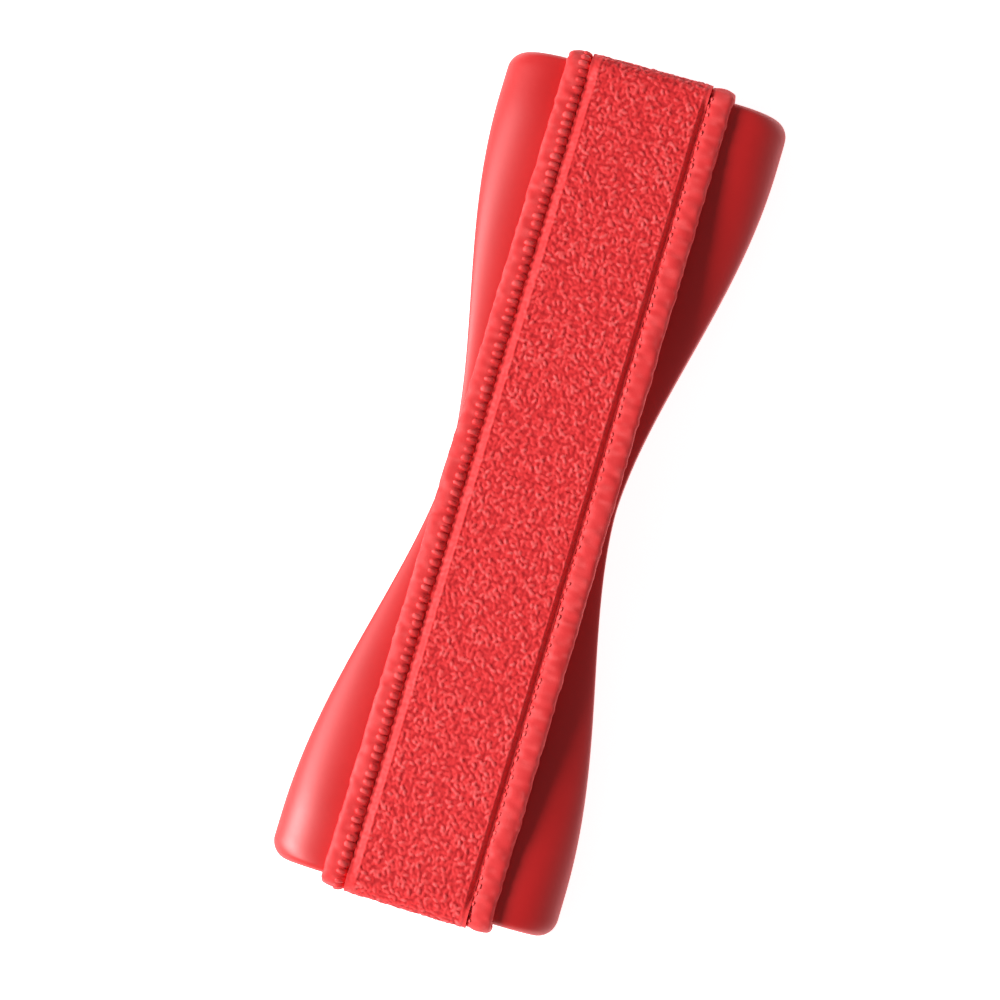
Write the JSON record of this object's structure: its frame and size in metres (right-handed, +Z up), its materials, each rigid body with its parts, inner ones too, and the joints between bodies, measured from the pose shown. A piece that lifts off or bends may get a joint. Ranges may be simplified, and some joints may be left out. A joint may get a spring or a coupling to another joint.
{
  "type": "elastic finger grip",
  "caption": "Hourglass moulded base with a woven elastic strap along it, which lifts to take a finger; flat adhesive underside.",
  "frame": {"origin": "under the middle of the base, on the adhesive face", "axes": "+X along the strap towards the front end, +Y across it to the left, +Z up out of the adhesive face"},
  "size_m": [0.0874, 0.0292, 0.0066],
  "materials": {
    "base_plastic": "satin moulded red",
    "plate_plastic": "fine spark-eroded red",
    "foam": "closed-cell foam tape",
    "web": "crepe woven elastic",
    "edge_cord": "whipped edge cord"
  },
  "bodies": {
    "base": {"base_shell": "base_plastic", "bottom_plate": "plate_plastic", "adhesive_pad": "foam", "strap_end_front": "web", "cord_left_end_front": "edge_cord", "cord_right_end_front": "edge_cord", "strap_end_rear": "web", "cord_left_end_rear": "edge_cord", "cord_right_end_rear": "edge_cord"},
    "finger_place": {"strap_centre": "web", "cord_left_centre": "edge_cord", "cord_right_centre": "edge_cord"},
    "span_front": {"strap_span_front": "web", "cord_left_span_front": "edge_cord", "cord_right_span_front": "edge_cord"},
    "span_rear": {"strap_span_rear": "web", "cord_left_span_rear": "edge_cord", "cord_right_span_rear": "edge_cord"}
  },
  "joints": [
    {"name": "strap_lift", "type": "slide", "parent": "base", "child": "finger_place", "axis": [0, 0, 1], "range_m": [0, 0.013], "stiffness_N_per_m": 200},
    {"name": "front_span_turn", "type": "hinge", "parent": "base", "child": "span_front", "pos_m": [0.0365, 0, 0.0066], "axis": [0, 1, 0], "range_deg": [0, 28.3]},
    {"name": "rear_span_turn", "type": "hinge", "parent": "base", "child": "span_rear", "pos_m": [-0.0365, 0, 0.0066], "axis": [0, -1, 0], "range_deg": [0, 28.3]}
  ],
  "couplings": [
    {"joint": "front_span_turn", "follows": "strap_lift", "rad_per_m": 37.736},
    {"joint": "rear_span_turn", "follows": "strap_lift", "rad_per_m": 37.736}
  ]
}
